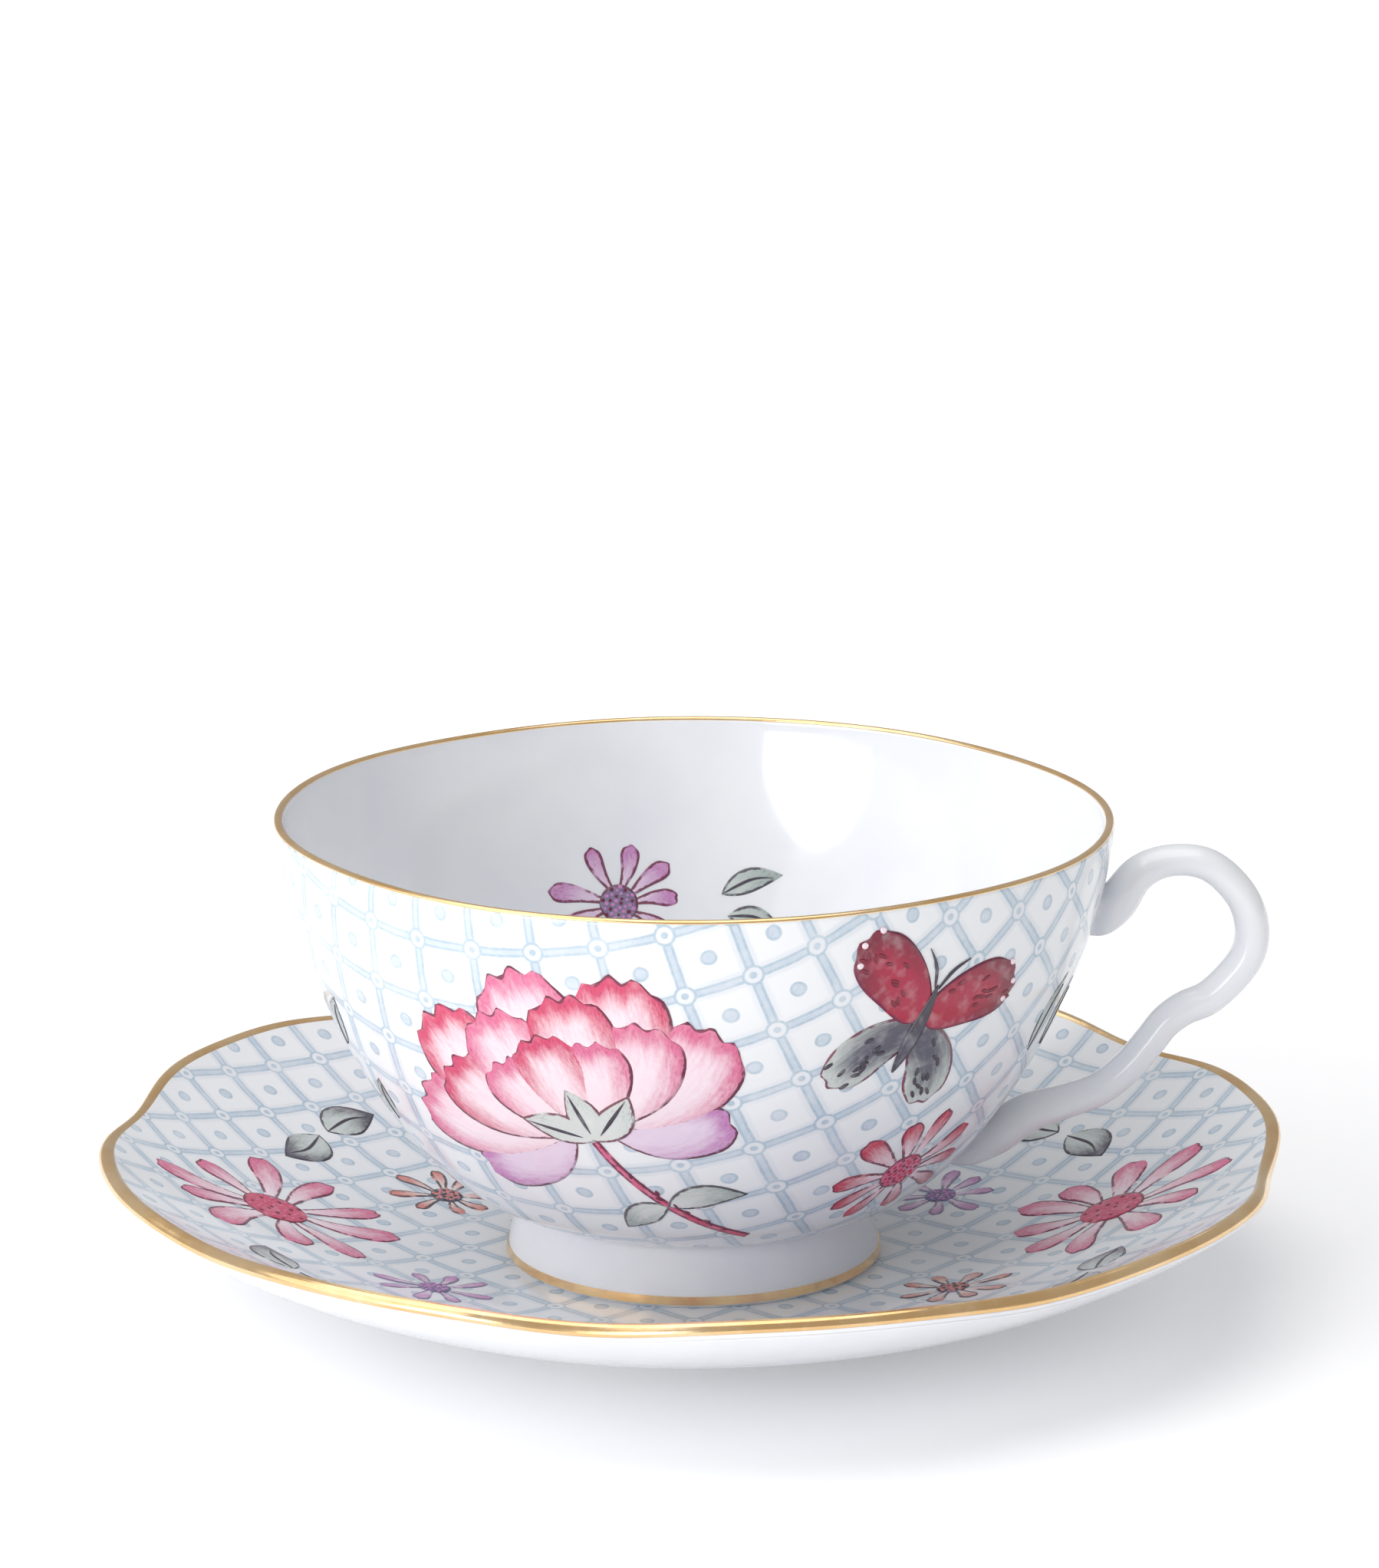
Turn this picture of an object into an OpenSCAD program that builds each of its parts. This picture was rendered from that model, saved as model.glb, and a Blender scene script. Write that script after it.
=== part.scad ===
// Footed china teacup with a looped handle, standing in the well of its lobed saucer.
// Origin: centre of the saucer's foot ring, on the plane that the saucer rests on.
// +Z is up, and the handle points along +X.

/* [Cup] */
// Outer radius of the lip, at the crown of a lobe
cup_lip_r = 52.3; // [46:0.2:64]
// Height of the cup from the bottom of its foot to the top of its lip
cup_h = 57; // [48:0.5:70]
// Thickness of the lip
lip_t = 1.3; // [1:0.1:2]
// Thickness of the bowl's wall low down
wall_t = 2.1; // [1.4:0.1:3]
// Thickness of the bowl's floor
floor_t = 2.4; // [1.6:0.1:4]
// Number of soft lobes around the lip
lip_lobes = 4; // [2:1:8]
// How far the lip draws in at the notch between two lobes
lip_lobe_depth = 1; // [0:0.1:2]

/* [Cup foot] */
// Outer radius of the foot at its bottom
foot_r = 23.6; // [20:0.2:29]
// Height of the foot
foot_h = 8; // [5:0.5:12]
// How far the foot draws in from its bottom to its top
foot_draw = 1.3; // [0:0.1:3]
// Thickness of the foot's wall
foot_t = 3; // [2:0.1:4]
// Thickness of the slip joint between the foot and the bowl
foot_slip_t = 0.4; // [0.3:0.1:0.8]

/* [Handle] */
// Clear reach of the loop: how far its middle line stands out from the wall
handle_reach = 21.3; // [16:0.1:26]
// Height of the upper terminal's root above the bottom of the foot
handle_top_h = 46; // [40:0.5:56]
// Height of the lower terminal's root above the bottom of the foot
handle_low_h = 15.5; // [12:0.5:20]
// Thickness of the strap along the loop
strap_t = 4.1; // [3:0.1:6]
// Width of the strap across the loop
strap_w = 5.6; // [4:0.1:8]
// How far each terminal grows beyond the strap's thickness at its root
terminal_flare = 5; // [2:0.1:7]
// Thickness of the slip joint between a terminal and the wall
handle_slip_t = 0.6; // [0.3:0.1:1]

/* [Saucer] */
// Outer radius of the saucer at the crown of a lobe
saucer_r = 74.7; // [64:0.2:92]
// Height of the middle of the saucer's edge at the crown of a lobe
saucer_edge_h = 18.3; // [14:0.5:24]
// Radius of the rounded edge, half its thickness
saucer_edge_r = 1; // [0.8:0.1:1.6]
// Thickness of the well's floor
saucer_t = 2.3; // [1.8:0.1:3.5]
// Number of lobes around the saucer
saucer_lobes = 8; // [4:1:12]
// How far the edge draws in at the notch between two lobes
saucer_lobe_depth = 1.95; // [0:0.1:4]
// How far the edge dips at the notch between two lobes
saucer_lobe_dip = 1.4; // [0:0.1:3]

/* [Saucer foot] */
// Outer radius of the foot ring that the saucer stands on
ring_r = 35; // [31:0.5:44]
// Width of the foot ring
ring_w = 3.5; // [2.5:0.1:5]
// Height of the well's top above the plane that the saucer stands on
well_h = 3.5; // [3:0.1:6]
// Height of the foot ring
ring_h = 2; // [1.6:0.1:3]

/* [Gilding] */
// Thickness of the gilding on the lip, foot and saucer edge
gilt_t = 0.12; // [0.1:0.01:0.3]
// How far the lip's gilding reaches down the wall
lip_gilt_h = 0.9; // [0.8:0.1:2]
// Height of the gilded band on the foot
foot_gilt_h = 1.5; // [0.8:0.1:3]
// Width of the saucer's gilding in from its rounded edge
edge_gilt_w = 0.5; // [0.3:0.1:2]

/* [Clearances] */
// Gap all round between the cup's foot and the rising side of the well
well_gap = 1; // [0.5:0.1:3]
// Bearing of the notch between the handle's lobe and the next one
notch_bearing = 35.4; // [0:0.1:45]

/* [Hidden] */
CUP_STEPS = 72;
SAUCER_STEPS = 96;
WALL_STEPS = 10;
DISH_STEPS = 8;
LIP_STEPS = 4;
SWEEP_SIDES = 12;
JOIN = 0.01;
EDGE_BEVEL = 0.5;

lip_r = lip_t / 2;
foot_top_r = foot_r - foot_draw;
foot_top_z = foot_h - foot_slip_t;
wall_foot_r = foot_top_r + 1.5;
wall_top_z = cup_h - lip_gilt_h;
lobe_fade_h = cup_h * 0.4;
well_r = foot_r + well_gap;
saucer_fade_r = saucer_r * 0.6;

// Strength of a lobe's notch at bearing a: 1 in the notch, 0 at the crown
function notch(a, lobes) = pow((1 + cos(lobes * (a - notch_bearing))) / 2, 2);

// Share of the way from low to high, held between 0 and 1
function share(v, low, high) = max(0, min(1, (v - low) / (high - low)));

// Point of the cubic curve with control points p at parameter t
function curve(p, t) =
    pow(1 - t, 3) * p[0] + 3 * pow(1 - t, 2) * t * p[1]
    + 3 * (1 - t) * t * t * p[2] + pow(t, 3) * p[3];

// Direction of that curve, of length 1
function heading(p, t) =
    let (d = pow(1 - t, 2) * (p[1] - p[0]) + 2 * (1 - t) * t * (p[2] - p[1])
        + t * t * (p[3] - p[2]))
    d / norm(d);

// ---- The bowl's outline, as [radius, height above the foot's bottom] ----
wall_span = [cup_lip_r - wall_foot_r, wall_top_z - foot_h];
wall_curve = [
    [wall_foot_r, foot_h],
    [wall_foot_r + 0.472 * wall_span[0], foot_h + 0.079 * wall_span[1]],
    [cup_lip_r - 0.053 * wall_span[0], wall_top_z - 0.364 * wall_span[1]],
    [cup_lip_r, wall_top_z]
];
function wall_thickness(t) = floor_t + (wall_t - floor_t) * share(t, 0, 0.2)
    + (lip_t - wall_t) * share(t, 0.3, 1);
function inner_wall(t) =
    let (d = heading(wall_curve, t)) curve(wall_curve, t) + [-d[1], d[0]] * wall_thickness(t);

// Half circle over the lip, grown by the thickness of a coat
function lip_arc(coat) = [
    for (i = [0 : LIP_STEPS]) let (a = 180 * i / LIP_STEPS)
        [cup_lip_r - lip_r + (lip_r + coat) * cos(a), cup_h - lip_r + (lip_r + coat) * sin(a)]
];
outer_wall = [for (i = [0 : WALL_STEPS]) curve(wall_curve, i / WALL_STEPS)];
inner_wall_down = concat(
    [[cup_lip_r - lip_t, wall_top_z]],
    [for (i = [WALL_STEPS - 1 : -1 : 0]) inner_wall(i / WALL_STEPS)]
);
bowl_outline = concat(outer_wall, lip_arc(0), inner_wall_down);

// Radius of the outer wall at height z, found by halving the curve's parameter range
function wall_radius(z, low = 0, high = 1, rounds = 16) =
    let (mid = (low + high) / 2, p = curve(wall_curve, mid))
    rounds == 0 ? p[0]
        : p[1] < z ? wall_radius(z, mid, high, rounds - 1) : wall_radius(z, low, mid, rounds - 1);

// The lip's lobes fade out down the wall
function cup_point(p, a) =
    let (r = p[0] - lip_lobe_depth * notch(a, lip_lobes) * pow(share(p[1], lobe_fade_h, cup_h), 2))
    [r * cos(a), r * sin(a), p[1]];

// ---- The saucer's outline, as [radius, height] ----
edge_centre = [saucer_r - saucer_edge_r, saucer_edge_h];
UNDER_ANGLE = -53;
TOP_ANGLE = 118;
GILT_ANGLE = -30;
function edge_point(a, coat = 0) = edge_centre + (saucer_edge_r + coat) * [cos(a), sin(a)];
edge_top = edge_point(TOP_ANGLE);
dish_rise = [cos(TOP_ANGLE + 90), sin(TOP_ANGLE + 90)];
dish_rim = edge_top + edge_gilt_w * dish_rise;
dish_span = dish_rim - [well_r, well_h];
dish_curve = [
    [well_r, well_h],
    [well_r + 0.362 * dish_span[0], well_h],
    [well_r + 0.706 * dish_span[0], well_h + 0.39 * dish_span[1]],
    dish_rim
];
seat_r = ring_r + 1;
under_span = edge_point(UNDER_ANGLE) - [seat_r, ring_h];
under_curve = [
    [seat_r, ring_h],
    [seat_r + 0.314 * under_span[0], ring_h + 0.1 * under_span[1]],
    [seat_r + 0.706 * under_span[0], ring_h + 0.46 * under_span[1]],
    edge_point(UNDER_ANGLE)
];
GILT_STEPS = 4;
gilt_angles = [for (i = [0 : GILT_STEPS]) GILT_ANGLE + (TOP_ANGLE - GILT_ANGLE) * i / GILT_STEPS];
well_under_h = well_h - saucer_t;
plate_outline = concat(
    [[well_r - 1, well_under_h], [ring_r - ring_w - 1, ring_h]],
    [for (i = [0 : DISH_STEPS]) curve(under_curve, i / DISH_STEPS)],
    [for (a = gilt_angles) edge_point(a)],
    [for (i = [DISH_STEPS : -1 : 0]) curve(dish_curve, i / DISH_STEPS)]
);

// The saucer's lobes draw in and dip the edge, and fade out towards the well
function saucer_point(p, a) =
    let (k = notch(a, saucer_lobes) * pow(share(p[0], saucer_fade_r, saucer_r), 3),
        r = p[0] - saucer_lobe_depth * k)
    [r * cos(a), r * sin(a), p[1] - saucer_lobe_dip * k];

// ---- The handle's middle line ----
// Each row: distance out from the wall as a share of the reach, height as a share of the way
// from the lower root to the upper one, then thickness and width beyond the strap's own, as
// shares of the terminal's flare. A share below 0 tapers the strap, as at its two ends.
HANDLE_LINE = [
    [0.01, 0.85, -0.6, -0.5],
    [0.075, 0.90, -0.1, 0.1],
    [0.12, 0.98, 0.2, 0.25],
    [0.205, 1.105, 0.06, 0.1],
    [0.38, 1.158, -0.03, 0],
    [0.61, 1.135, 0, 0],
    [0.84, 1.01, 0.03, 0],
    [0.97, 0.865, 0.06, 0],
    [0.995, 0.73, 0.06, 0],
    [0.90, 0.585, 0.04, 0],
    [0.775, 0.53, 0.02, 0],
    [0.705, 0.47, 0, 0],
    [0.68, 0.39, 0, 0],
    [0.645, 0.28, 0, 0],
    [0.57, 0.185, 0, 0.05],
    [0.425, 0.13, 0.02, 0.1],
    [0.28, 0.09, 0.14, 0.25],
    [0.22, 0.05, 0.2, 0.3],
    [0.175, -0.015, 0.2, 0.35],
    [0.11, -0.085, -0.1, 0.1],
    [0.005, -0.11, -0.6, -0.5]
];
LINE_STEPS = 2;
function line_point(row) =
    let (z = handle_low_h + row[1] * (handle_top_h - handle_low_h))
    [wall_radius(z) + row[0] * handle_reach, z, row[2], row[3]];
handle_knots = [for (row = HANDLE_LINE) line_point(row)];

// Point on the smooth line through the knots, between knot i and the next one
function through(k, i, t) =
    let (n = len(k) - 1, a = k[max(0, i - 1)], b = k[i], c = k[i + 1], d = k[min(n, i + 2)])
    0.5 * (2 * b + (c - a) * t + (2 * a - 5 * b + 4 * c - d) * t * t
        + (3 * b - a - 3 * c + d) * pow(t, 3));
handle_line = concat(
    [for (i = [0 : len(handle_knots) - 2], s = [0 : LINE_STEPS - 1])
        through(handle_knots, i, s / LINE_STEPS)],
    [handle_knots[len(handle_knots) - 1]]
);

// Faces of a shape made of rings of m points, n rings, joined round and closed as asked.
// Each cell is split along one diagonal, or along the other one for a skin: its outline runs the
// other way along the face that it lies on, so that both shapes have the same triangles there.
function strip_faces(n, m, joined_round, joined_ends, is_skin = false) = [
    for (i = [0 : n - (joined_ends ? 1 : 2)], j = [0 : m - (joined_round ? 1 : 2)])
        let (a = i * m + j, b = i * m + (j + 1) % m,
            c = ((i + 1) % n) * m + (j + 1) % m, d = ((i + 1) % n) * m + j)
        each is_skin ? [[a, b, d], [b, c, d]] : [[a, b, c], [a, c, d]]
];

// A turned shape whose open outline starts and ends on a flat disc
module turned_solid(rings) {
    n = len(rings);
    m = len(rings[0]);
    polyhedron([for (ring = rings) each ring], concat(
        strip_faces(n, m, false, true),
        [[for (i = [0 : n - 1]) i * m]],
        [[for (i = [n - 1 : -1 : 0]) i * m + m - 1]]
    ));
}

// A turned skin whose outline is closed
module turned_skin(rings) {
    faces = strip_faces(len(rings), len(rings[0]), true, true, is_skin = true);
    polyhedron([for (ring = rings) each ring], faces);
}

function cup_rings(outline) = [
    for (i = [0 : CUP_STEPS - 1]) let (a = 360 * i / CUP_STEPS) [for (p = outline) cup_point(p, a)]
];
function saucer_rings(outline) = [
    for (i = [0 : SAUCER_STEPS - 1]) let (a = 360 * i / SAUCER_STEPS)
        [for (p = outline) saucer_point(p, a)]
];

// The bowl's outer shape as one closed solid, grown sideways by a coat
module bowl_envelope(coat) {
    turned_solid(cup_rings([for (p = outer_wall) p + [coat, 0]]));
}

// The handle's strap, grown all round by a coat, running a little way into the wall
module strap(coat) {
    n = len(handle_line);
    rings = [for (i = [0 : n - 1])
        let (a = handle_line[max(0, i - 1)], b = handle_line[min(n - 1, i + 1)], p = handle_line[i],
            d = [b[0] - a[0], b[1] - a[1]], u = [-d[1], d[0]] / norm(d),
            half_t = (strap_t + p[2] * terminal_flare) / 2 + coat,
            half_w = (strap_w + p[3] * terminal_flare) / 2 + coat)
        [for (s = [0 : SWEEP_SIDES - 1]) let (q = 360 * s / SWEEP_SIDES)
            [p[0] + u[0] * half_t * cos(q), half_w * sin(q), p[1] + u[1] * half_t * cos(q)]]];
    polyhedron([for (ring = rings) each ring], concat(
        strip_faces(n, SWEEP_SIDES, true, false),
        [[for (s = [0 : SWEEP_SIDES - 1]) s]],
        [[for (s = [SWEEP_SIDES - 1 : -1 : 0]) (n - 1) * SWEEP_SIDES + s]]
    ));
}

// Slip squeezed out round a terminal, between heights low and high
module slip_pad(low, high) {
    difference() {
        intersection() {
            bowl_envelope(handle_slip_t);
            strap(handle_slip_t);
            translate([0, -strap_w * 2, low]) cube([cup_lip_r * 2, strap_w * 4, high - low]);
        }
        bowl_envelope(0);
    }
}

// Places the cup's own frame, whose base is the bottom of its foot, in the saucer's well
module on_well() translate([0, 0, well_h]) children();

module saucer_plate() {
    color([0.93, 0.95, 0.97]) turned_solid(saucer_rings(plate_outline));
}

module saucer_foot_ring() {
    color([0.97, 0.97, 0.97]) rotate_extrude($fn = 128) polygon([
        [ring_r - ring_w, ring_h],
        [ring_r - ring_w, EDGE_BEVEL],
        [ring_r - ring_w + EDGE_BEVEL, 0],
        [ring_r - EDGE_BEVEL, 0],
        [ring_r, EDGE_BEVEL],
        [ring_r, ring_h]
    ]);
}

module saucer_rim_gilding() {
    skin = concat(
        [for (a = gilt_angles) edge_point(a, gilt_t)],
        [dish_rim + gilt_t * [cos(TOP_ANGLE), sin(TOP_ANGLE)]],
        [dish_rim],
        [for (i = [len(gilt_angles) - 1 : -1 : 0]) edge_point(gilt_angles[i])]
    );
    color([0.80, 0.62, 0.28]) turned_skin(saucer_rings(skin));
}

module cup_bowl() {
    color([0.94, 0.95, 0.97]) on_well() turned_solid(cup_rings(bowl_outline));
}

module cup_rim_gilding() {
    skin = concat(
        [[cup_lip_r + gilt_t, wall_top_z]],
        lip_arc(gilt_t),
        [[cup_lip_r - lip_t - gilt_t, wall_top_z], [cup_lip_r - lip_t, wall_top_z]],
        [for (i = [LIP_STEPS : -1 : 0]) lip_arc(0)[i]],
        [[cup_lip_r, wall_top_z]]
    );
    color([0.80, 0.62, 0.28]) on_well() turned_skin(cup_rings(skin));
}

module foot_slip_joint() {
    color([0.90, 0.90, 0.88]) on_well() translate([0, 0, foot_top_z])
        difference() {
            cylinder(r = foot_top_r, h = foot_slip_t, $fn = 128);
            translate([0, 0, -JOIN])
                cylinder(r = foot_top_r - foot_t, h = foot_slip_t + 2 * JOIN, $fn = 128);
        }
}

module cup_foot() {
    color([0.97, 0.97, 0.97]) on_well() rotate_extrude($fn = 128) polygon([
        [foot_top_r - foot_t, foot_top_z],
        [foot_r - foot_t, EDGE_BEVEL],
        [foot_r - foot_t + EDGE_BEVEL, 0],
        [foot_r - EDGE_BEVEL, 0],
        [foot_r, EDGE_BEVEL],
        [foot_top_r, foot_top_z]
    ]);
}

module cup_foot_gilding() {
    band_top_r = foot_r
        - foot_draw * (foot_gilt_h - EDGE_BEVEL) / (foot_top_z - EDGE_BEVEL);
    color([0.80, 0.62, 0.28]) on_well() rotate_extrude($fn = 128) polygon([
        [foot_r, EDGE_BEVEL],
        [foot_r + gilt_t, EDGE_BEVEL],
        [band_top_r + gilt_t, foot_gilt_h],
        [band_top_r, foot_gilt_h]
    ]);
}

module handle() {
    color([0.97, 0.97, 0.97]) on_well() difference() {
        strap(0);
        bowl_envelope(handle_slip_t);
    }
}

module upper_slip_joint() {
    color([0.90, 0.90, 0.88]) on_well() slip_pad((handle_low_h + handle_top_h) / 2, cup_h);
}

module lower_slip_joint() {
    color([0.90, 0.90, 0.88]) on_well() slip_pad(foot_h, (handle_low_h + handle_top_h) / 2);
}

saucer_plate();
saucer_foot_ring();
saucer_rim_gilding();
cup_bowl();
cup_rim_gilding();
foot_slip_joint();
cup_foot();
cup_foot_gilding();
handle();
upper_slip_joint();
lower_slip_joint();
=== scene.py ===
"""Footed china teacup on its lobed saucer: the looks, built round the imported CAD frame."""
import math

import bpy
import numpy as np
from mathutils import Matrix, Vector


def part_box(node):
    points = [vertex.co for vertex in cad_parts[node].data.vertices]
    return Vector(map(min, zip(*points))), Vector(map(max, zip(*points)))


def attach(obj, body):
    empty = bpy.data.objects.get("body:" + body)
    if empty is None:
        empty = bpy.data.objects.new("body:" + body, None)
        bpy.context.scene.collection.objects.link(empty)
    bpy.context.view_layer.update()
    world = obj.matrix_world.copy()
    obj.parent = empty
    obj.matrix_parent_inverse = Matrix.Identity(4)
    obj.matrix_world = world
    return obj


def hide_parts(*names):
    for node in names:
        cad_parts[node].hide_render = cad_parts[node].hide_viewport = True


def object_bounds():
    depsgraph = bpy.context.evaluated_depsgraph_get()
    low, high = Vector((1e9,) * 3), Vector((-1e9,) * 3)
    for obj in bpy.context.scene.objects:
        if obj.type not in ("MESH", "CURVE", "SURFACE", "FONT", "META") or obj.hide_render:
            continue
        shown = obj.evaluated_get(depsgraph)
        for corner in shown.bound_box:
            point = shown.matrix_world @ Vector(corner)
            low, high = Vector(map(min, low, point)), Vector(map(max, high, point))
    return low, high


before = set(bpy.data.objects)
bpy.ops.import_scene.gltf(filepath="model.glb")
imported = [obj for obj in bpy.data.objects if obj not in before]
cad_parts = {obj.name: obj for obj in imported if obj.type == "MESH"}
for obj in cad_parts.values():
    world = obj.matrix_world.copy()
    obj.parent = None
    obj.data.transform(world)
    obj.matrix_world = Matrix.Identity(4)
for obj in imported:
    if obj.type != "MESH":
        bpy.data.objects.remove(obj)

cad_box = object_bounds()
MM = 0.001
rng = np.random.default_rng(7)

# ---- Sizes of the solids, in millimetres ----
WELL_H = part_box("cup_foot")[0].z / MM
CUP_LIP_R, CUP_H, LIP_T, WALL_T, FLOOR_T = 52.3, 57.0, 1.3, 2.1, 2.4
LIP_LOBES, LIP_LOBE_DEPTH, LIP_GILT_H = 4, 1.0, 0.9
FOOT_TOP_R, FOOT_H = 22.3, 8.0
HANDLE_REACH, HANDLE_TOP_H, HANDLE_LOW_H = 21.3, 46.0, 15.5
STRAP_T, STRAP_W, TERMINAL_FLARE = 4.1, 5.6, 5.0
SAUCER_R, EDGE_H, EDGE_R, SAUCER_T = 74.7, 18.3, 1.0, 2.3
SAUCER_LOBES, SAUCER_LOBE_DEPTH, SAUCER_LOBE_DIP = 8, 1.95, 1.4
RING_R, RING_W, RING_H, WELL_R = 35.0, 3.5, 2.0, 24.6
NOTCH_BEARING = math.radians(35.4)
EDGE_GILT_W, GILT_T = 0.5, 0.12
UNDER_ANGLE, TOP_ANGLE, GILT_FROM_ANGLE = -53.0, 118.0, -10.5
CUP_AROUND, SAUCER_AROUND = 288, 384


def bezier(p, t):
    t = np.asarray(t, float)[:, None]
    p = np.asarray(p, float)
    return ((1 - t) ** 3 * p[0] + 3 * (1 - t) ** 2 * t * p[1]
            + 3 * (1 - t) * t * t * p[2] + t ** 3 * p[3])


def share(v, low, high):
    return np.clip((v - low) / (high - low), 0, 1)


def arc_length(p):
    return np.concatenate([[0], np.cumsum(np.hypot(*np.diff(p, axis=0).T))])


def notch(bearing, lobes):
    return ((1 + np.cos(lobes * (bearing - NOTCH_BEARING))) / 2) ** 2


# ---- The bowl's faces, as [radius, height above the foot's bottom] ----
wall_foot = np.array([FOOT_TOP_R + 1.5, FOOT_H])
wall_top = np.array([CUP_LIP_R, CUP_H - LIP_GILT_H])
span = wall_top - wall_foot
WALL_CURVE = [wall_foot, wall_foot + span * [0.472, 0.079], wall_top - span * [0.053, 0.364], wall_top]
t_wall = np.linspace(0, 1, 65)
outer_wall = bezier(WALL_CURVE, t_wall)
slope = np.gradient(outer_wall, axis=0)
slope /= np.linalg.norm(slope, axis=1)[:, None]
thick = FLOOR_T + (WALL_T - FLOOR_T) * share(t_wall, 0, 0.2) + (LIP_T - WALL_T) * share(t_wall, 0.3, 1)
inner_wall = outer_wall + np.stack([-slope[:, 1], slope[:, 0]], 1) * thick[:, None]
inner_wall[-1] = [CUP_LIP_R - LIP_T, wall_top[1]]
FLOOR_SAG = 0.6
floor_r = np.linspace(0, inner_wall[0, 0], 14)[:-1]
inner_floor = np.stack([floor_r, inner_wall[0, 1] - FLOOR_SAG * (1 - (floor_r / inner_wall[0, 0]) ** 4)], 1)
outer_s = arc_length(outer_wall)


def lip_arc(coat, steps=16):
    a = np.linspace(0, math.pi, steps + 1)
    r = LIP_T / 2
    return np.stack([CUP_LIP_R - r + (r + coat) * np.cos(a), CUP_H - r + (r + coat) * np.sin(a)], 1)


def cup_point(p, bearing):
    """Points of the turned outline p at a bearing, drawn in by the lip's lobes, in the row frame."""
    r, z = p[..., 0], p[..., 1]
    r = r - LIP_LOBE_DEPTH * notch(bearing, LIP_LOBES) * share(z, 0.4 * CUP_H, CUP_H) ** 2
    return np.stack([r * np.cos(bearing), r * np.sin(bearing), z + WELL_H], -1)


# ---- The saucer's faces, as [radius, height] ----
edge_centre = np.array([SAUCER_R - EDGE_R, EDGE_H])


def edge_point(deg, coat=0.0):
    a = np.radians(deg)
    return edge_centre + (EDGE_R + np.asarray(coat))[..., None] * np.stack([np.cos(a), np.sin(a)], -1)


rise = np.array([math.cos(math.radians(TOP_ANGLE + 90)), math.sin(math.radians(TOP_ANGLE + 90))])
dish_rim = edge_point(TOP_ANGLE) + EDGE_GILT_W * rise
span = dish_rim - [WELL_R, WELL_H]
well_edge = np.array([WELL_R, WELL_H])
dish = bezier([well_edge, well_edge + span * [0.362, 0], well_edge + span * [0.706, 0.39], dish_rim],
              np.linspace(0, 1, 81))
seat = np.array([RING_R + 1, RING_H])
span = edge_point(UNDER_ANGLE) - seat
under = bezier([seat, seat + span * [0.314, 0.1], seat + span * [0.706, 0.46], edge_point(UNDER_ANGLE)],
               np.linspace(0, 1, 41))
well_floor = np.stack([np.linspace(0, WELL_R, 12)[:-1], np.full(11, WELL_H)], 1)
dish_top = np.concatenate([well_floor, dish])
dish_s = arc_length(dish_top)


def saucer_point(p, bearing):
    r, z = p[..., 0], p[..., 1]
    k = notch(bearing, SAUCER_LOBES) * share(r, 0.6 * SAUCER_R, SAUCER_R) ** 3
    r = r - SAUCER_LOBE_DEPTH * k
    return np.stack([r * np.cos(bearing), r * np.sin(bearing), z - SAUCER_LOBE_DIP * k], -1)


# ---- Mesh helpers ----
def new_piece(name, verts, faces, body, materials, uvs=None, face_material=None, colours=None):
    """A smooth-shaded mesh piece from vertices in millimetres. uvs: name to one pair per corner."""
    mesh = bpy.data.meshes.new(name)
    mesh.from_pydata([tuple(v) for v in np.asarray(verts) * MM], [], [tuple(f) for f in faces])
    for uv_name, values in (uvs or {}).items():
        layer = mesh.uv_layers.new(name=uv_name)
        layer.data.foreach_set("uv", np.asarray(values, np.float32).ravel())
    for colour_name, values in (colours or {}).items():
        layer = mesh.color_attributes.new(colour_name, "FLOAT_COLOR", "POINT")
        layer.data.foreach_set("color", np.asarray(values, np.float32).ravel())
    for m in materials:
        mesh.materials.append(m)
    if face_material is not None:
        mesh.polygons.foreach_set("material_index", np.asarray(face_material, np.int32))
    mesh.polygons.foreach_set("use_smooth", np.ones(len(mesh.polygons), bool))
    mesh.update()
    piece = bpy.data.objects.new(name, mesh)
    bpy.context.scene.collection.objects.link(piece)
    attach(piece, body)
    return piece


def turned(outline, around, place, closed):
    """Vertices and quads of an outline turned round Z. An open outline starts and ends on the axis."""
    bearings = np.arange(around) * 2 * math.pi / around
    rows = len(outline)
    grid = np.stack([place(outline, b) for b in bearings])
    faces, corners = [], []
    if closed:
        verts = grid.reshape(-1, 3)
        for i in range(around):
            n = (i + 1) % around
            for j in range(rows):
                k = (j + 1) % rows
                faces.append((i * rows + j, n * rows + j, n * rows + k, i * rows + k))
                corners.append(((i, j), (i + 1, j), (i + 1, k), (i, k)))
        return verts, faces, corners
    verts = np.concatenate([grid[:, 1:-1].reshape(-1, 3), grid[:1, 0], grid[:1, -1]])
    inner = rows - 2
    first, last = around * inner, around * inner + 1
    for i in range(around):
        n = (i + 1) % around
        faces.append((first, n * inner, i * inner))
        corners.append(((i + 0.5, 0), (i + 1, 1), (i, 1)))
        for j in range(inner - 1):
            faces.append((i * inner + j, n * inner + j, n * inner + j + 1, i * inner + j + 1))
            corners.append(((i, j + 1), (i + 1, j + 1), (i + 1, j + 2), (i, j + 2)))
        faces.append((i * inner + inner - 1, n * inner + inner - 1, last))
        corners.append(((i, rows - 2), (i + 1, rows - 2), (i + 0.5, rows - 1)))
    return verts, faces, corners


def corner_uvs(corners, around, where):
    """where(bearing, row) gives the pair at a corner; the bearing runs on past a full turn."""
    return np.array([where(i * 2 * math.pi / around, j) for face in corners for i, j in face])


# ---- Materials ----
def srgb(r, g, b):
    lin = [(c / 255 / 12.92 if c / 255 <= 0.04045 else ((c / 255 + 0.055) / 1.055) ** 2.4) for c in (r, g, b)]
    return (*lin, 1.0)


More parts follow.
